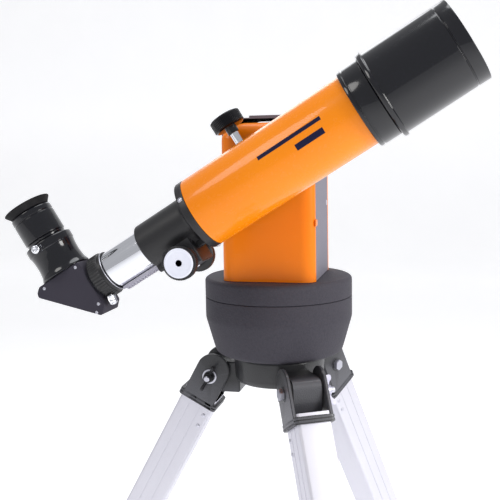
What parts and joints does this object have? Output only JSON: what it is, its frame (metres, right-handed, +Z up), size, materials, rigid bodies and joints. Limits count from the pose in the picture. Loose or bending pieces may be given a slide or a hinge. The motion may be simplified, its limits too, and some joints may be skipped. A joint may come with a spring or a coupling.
{
  "type": "refractor telescope on tripod",
  "caption": "Small refracting telescope with a star diagonal, carried on a motorised altitude-azimuth head and a folding aluminium tripod.",
  "frame": {"origin": "centre of the bounding box in plan, on the floor the feet stand on", "axes": "+Z up; the telescope points towards +X and hangs on the -Y side of the head"},
  "size_m": [0.6678, 0.7712, 0.9826],
  "materials": {
    "orange_paint": "gloss",
    "orange_shell": "gloss",
    "black_gloss": "gloss",
    "black_satin_metal": "satin",
    "black_plastic": "satin",
    "black_texture": "wrinkled",
    "grey_texture": "fine texture",
    "diagonal_plastic": "matt",
    "eyepiece_black": "gloss",
    "rubber": "matt",
    "chrome": "mirror",
    "rack_plastic": "semi-gloss",
    "steel": "satin",
    "brass": "satin",
    "leg_aluminium": "satin",
    "lens_glass": "polished",
    "mirror_glass": "mirror",
    "cell_wrap": "gloss"
  },
  "bodies": {
    "base": {"base_bowl": "grey_texture", "azimuth_gear": "brass", "tripod_head": "black_texture"},
    "mount_head": {"turntable": "grey_texture", "core_frame": "grey_texture", "front_shell": "orange_shell", "rear_shell": "orange_shell", "battery_pack": "cell_wrap", "altitude_motor": "steel", "azimuth_motor": "steel"},
    "azimuth_worm": {"azimuth_worm": "brass"},
    "altitude_worm": {"altitude_worm": "brass"},
    "cradle": {"altitude_shaft": "steel", "saddle": "black_satin_metal"},
    "saddle_knob": {"saddle_knob": "black_plastic"},
    "optical_tube": {"main_tube": "orange_paint", "objective_cell": "black_gloss", "objective_lens": "lens_glass", "focuser_housing": "black_satin_metal", "dovetail_bar": "black_satin_metal"},
    "dew_shield": {"dew_shield": "black_gloss"},
    "drawtube": {"drawtube": "chrome", "drawtube_rack": "rack_plastic", "eyepiece_holder": "black_satin_metal"},
    "focus_pinion": {"pinion_shaft": "brass", "near_focus_knob": "black_plastic", "far_focus_knob": "black_plastic"},
    "diagonal": {"diagonal_housing": "diagonal_plastic", "diagonal_mirror": "mirror_glass", "eyepiece_collar": "eyepiece_black"},
    "eyepiece": {"eyepiece_body": "eyepiece_black", "eye_lens": "lens_glass", "eyecup": "rubber"},
    "holder_thumbscrew": {"holder_thumbscrew": "chrome"},
    "collar_thumbscrew": {"collar_thumbscrew": "chrome"},
    "battery_door": {"battery_door": "orange_shell"},
    "power_switch": {"power_switch": "black_plastic"},
    "mounting_knob": {"mounting_knob": "black_plastic"},
    "tray": {"accessory_tray": "black_plastic"},
    "leg_left": {"clevis_left": "black_texture", "upper_leg_left": "leg_aluminium"},
    "lower_leg_left": {"lower_leg_left": "leg_aluminium", "foot_left": "rubber"},
    "brace_left": {"brace_left": "leg_aluminium"},
    "lock_knob_left": {"lock_knob_left": "black_plastic"},
    "wing_bolt_left": {"wing_bolt_left": "steel"},
    "leg_front": {"clevis_front": "black_texture", "upper_leg_front": "leg_aluminium"},
    "lower_leg_front": {"lower_leg_front": "leg_aluminium", "foot_front": "rubber"},
    "brace_front": {"brace_front": "leg_aluminium"},
    "lock_knob_front": {"lock_knob_front": "black_plastic"},
    "wing_bolt_front": {"wing_bolt_front": "steel"},
    "leg_rear": {"clevis_rear": "black_texture", "upper_leg_rear": "leg_aluminium"},
    "lower_leg_rear": {"lower_leg_rear": "leg_aluminium", "foot_rear": "rubber"},
    "brace_rear": {"brace_rear": "leg_aluminium"},
    "lock_knob_rear": {"lock_knob_rear": "black_plastic"},
    "wing_bolt_rear": {"wing_bolt_rear": "steel"}
  },
  "joints": [
    {"name": "azimuth", "type": "hinge", "parent": "base", "child": "mount_head", "pos_m": [0.10126, 0, 0.73775], "axis": [0, 0, 1], "continuous": true},
    {"name": "azimuth_worm_turn", "type": "hinge", "parent": "mount_head", "child": "azimuth_worm", "pos_m": [0.10126, 0.0476, 0.69375], "axis": [1, 0, 0], "continuous": true},
    {"name": "altitude", "type": "hinge", "parent": "mount_head", "child": "cradle", "pos_m": [0.10126, -0.06, 0.83845], "axis": [0, -1, 0], "range_deg": [-41, 43]},
    {"name": "altitude_worm_turn", "type": "hinge", "parent": "mount_head", "child": "altitude_worm", "pos_m": [0.13486, -0.0308, 0.83845], "axis": [0, 0, 1], "range_deg": [-1300, 1300]},
    {"name": "saddle_knob_turn", "type": "hinge", "parent": "cradle", "child": "saddle_knob", "pos_m": [0.10126, -0.0706, 0.83845], "axis": [-0.5255, 0, 0.8508], "continuous": true},
    {"name": "tube_balance", "type": "slide", "parent": "cradle", "child": "optical_tube", "axis": [0.8508, 0, 0.5255], "range_m": [-0.015, 0.015]},
    {"name": "dew_shield_slide", "type": "slide", "parent": "optical_tube", "child": "dew_shield", "axis": [0.8508, 0, 0.5255], "range_m": [0, 0.03]},
    {"name": "focus", "type": "slide", "parent": "optical_tube", "child": "drawtube", "axis": [-0.8508, 0, -0.5255], "range_m": [-0.036, 0.018]},
    {"name": "focus_pinion_turn", "type": "hinge", "parent": "optical_tube", "child": "focus_pinion", "pos_m": [0.04306, -0.1146, 0.76807], "axis": [0, 1, 0], "range_deg": [-150, 298]},
    {"name": "diagonal_turn", "type": "hinge", "parent": "drawtube", "child": "diagonal", "pos_m": [-0.03827, -0.1146, 0.75227], "axis": [0.8508, 0, 0.5255], "continuous": true},
    {"name": "eyepiece_slide", "type": "slide", "parent": "diagonal", "child": "eyepiece", "axis": [-0.5255, 0, 0.8508], "range_m": [0, 0.03]},
    {"name": "holder_thumbscrew_turn", "type": "hinge", "parent": "drawtube", "child": "holder_thumbscrew", "pos_m": [-0.04083, -0.1146, 0.7507], "axis": [0.4762, -0.4226, -0.7711], "continuous": true},
    {"name": "collar_thumbscrew_turn", "type": "hinge", "parent": "diagonal", "child": "collar_thumbscrew", "pos_m": [-0.09348, -0.1146, 0.77847], "axis": [0, -1, 0], "continuous": true},
    {"name": "battery_door_hinge", "type": "hinge", "parent": "mount_head", "child": "battery_door", "pos_m": [0.10126, 0.0469, 0.74975], "axis": [-1, 0, 0], "range_deg": [0, 90]},
    {"name": "power_switch_rock", "type": "hinge", "parent": "mount_head", "child": "power_switch", "pos_m": [0.05576, 0.022, 0.79775], "axis": [0, 1, 0], "range_deg": [-8, 8]},
    {"name": "mounting_knob_turn", "type": "hinge", "parent": "base", "child": "mounting_knob", "pos_m": [0.10126, 0, 0.62275], "axis": [0, 0, 1], "continuous": true},
    {"name": "leg_fold_left", "type": "hinge", "parent": "base", "child": "leg_left", "pos_m": [0.03126, 0, 0.63275], "axis": [0, -1, 0], "range_deg": [0, 26]},
    {"name": "leg_extend_left", "type": "slide", "parent": "leg_left", "child": "lower_leg_left", "axis": [-0.4772, 0, -0.8788], "range_m": [0, 0.3]},
    {"name": "lock_knob_turn_left", "type": "hinge", "parent": "leg_left", "child": "lock_knob_left", "pos_m": [-0.24692, 0, 0.1204], "axis": [-0.8788, 0, 0.4772], "continuous": true},
    {"name": "wing_bolt_turn_left", "type": "hinge", "parent": "leg_left", "child": "wing_bolt_left", "pos_m": [0.03126, 0, 0.63275], "axis": [0, -1, 0], "continuous": true},
    {"name": "brace_fold_left", "type": "hinge", "parent": "leg_left", "child": "brace_left", "pos_m": [-0.08957, 0, 0.35698], "axis": [0, -1, 0], "range_deg": [0, 28.26]},
    {"name": "leg_fold_front", "type": "hinge", "parent": "base", "child": "leg_front", "pos_m": [0.13626, -0.06062, 0.63275], "axis": [0.866, 0.5, 0], "range_deg": [0, 26]},
    {"name": "leg_extend_front", "type": "slide", "parent": "leg_front", "child": "lower_leg_front", "axis": [0.2386, -0.4132, -0.8788], "range_m": [0, 0.3]},
    {"name": "lock_knob_turn_front", "type": "hinge", "parent": "leg_front", "child": "lock_knob_front", "pos_m": [0.27535, -0.30154, 0.1204], "axis": [0.4394, -0.7611, 0.4772], "continuous": true},
    {"name": "wing_bolt_turn_front", "type": "hinge", "parent": "leg_front", "child": "wing_bolt_front", "pos_m": [0.13626, -0.06062, 0.63275], "axis": [0.866, 0.5, 0], "continuous": true},
    {"name": "brace_fold_front", "type": "hinge", "parent": "leg_front", "child": "brace_front", "pos_m": [0.19667, -0.16526, 0.35698], "axis": [0.866, 0.5, 0], "range_deg": [0, 28.26]},
    {"name": "leg_fold_rear", "type": "hinge", "parent": "base", "child": "leg_rear", "pos_m": [0.13626, 0.06062, 0.63275], "axis": [-0.866, 0.5, 0], "range_deg": [0, 26]},
    {"name": "leg_extend_rear", "type": "slide", "parent": "leg_rear", "child": "lower_leg_rear", "axis": [0.2386, 0.4132, -0.8788], "range_m": [0, 0.3]},
    {"name": "lock_knob_turn_rear", "type": "hinge", "parent": "leg_rear", "child": "lock_knob_rear", "pos_m": [0.27535, 0.30154, 0.1204], "axis": [0.4394, 0.7611, 0.4772], "continuous": true},
    {"name": "wing_bolt_turn_rear", "type": "hinge", "parent": "leg_rear", "child": "wing_bolt_rear", "pos_m": [0.13626, 0.06062, 0.63275], "axis": [-0.866, 0.5, 0], "continuous": true},
    {"name": "brace_fold_rear", "type": "hinge", "parent": "leg_rear", "child": "brace_rear", "pos_m": [0.19667, 0.16526, 0.35698], "axis": [-0.866, 0.5, 0], "range_deg": [0, 28.26]},
    {"name": "tray_rise", "type": "slide", "parent": "base", "child": "tray", "axis": [0, 0, 1], "range_m": [0, 0.06122]}
  ],
  "couplings": [
    {"joint": "azimuth_worm_turn", "follows": "azimuth", "ratio": 30},
    {"joint": "altitude_worm_turn", "follows": "altitude", "ratio": 30},
    {"joint": "focus_pinion_turn", "follows": "focus", "rad_per_m": -142.86},
    {"joint": "brace_fold_left", "follows": "leg_fold_left", "ratio": 1.0832},
    {"joint": "leg_fold_front", "follows": "leg_fold_left", "ratio": 1},
    {"joint": "brace_fold_front", "follows": "leg_fold_left", "ratio": 1.0832},
    {"joint": "leg_fold_rear", "follows": "leg_fold_left", "ratio": 1},
    {"joint": "brace_fold_rear", "follows": "leg_fold_left", "ratio": 1.0832},
    {"joint": "tray_rise", "follows": "leg_fold_left", "m_per_rad": 0.13469}
  ]
}
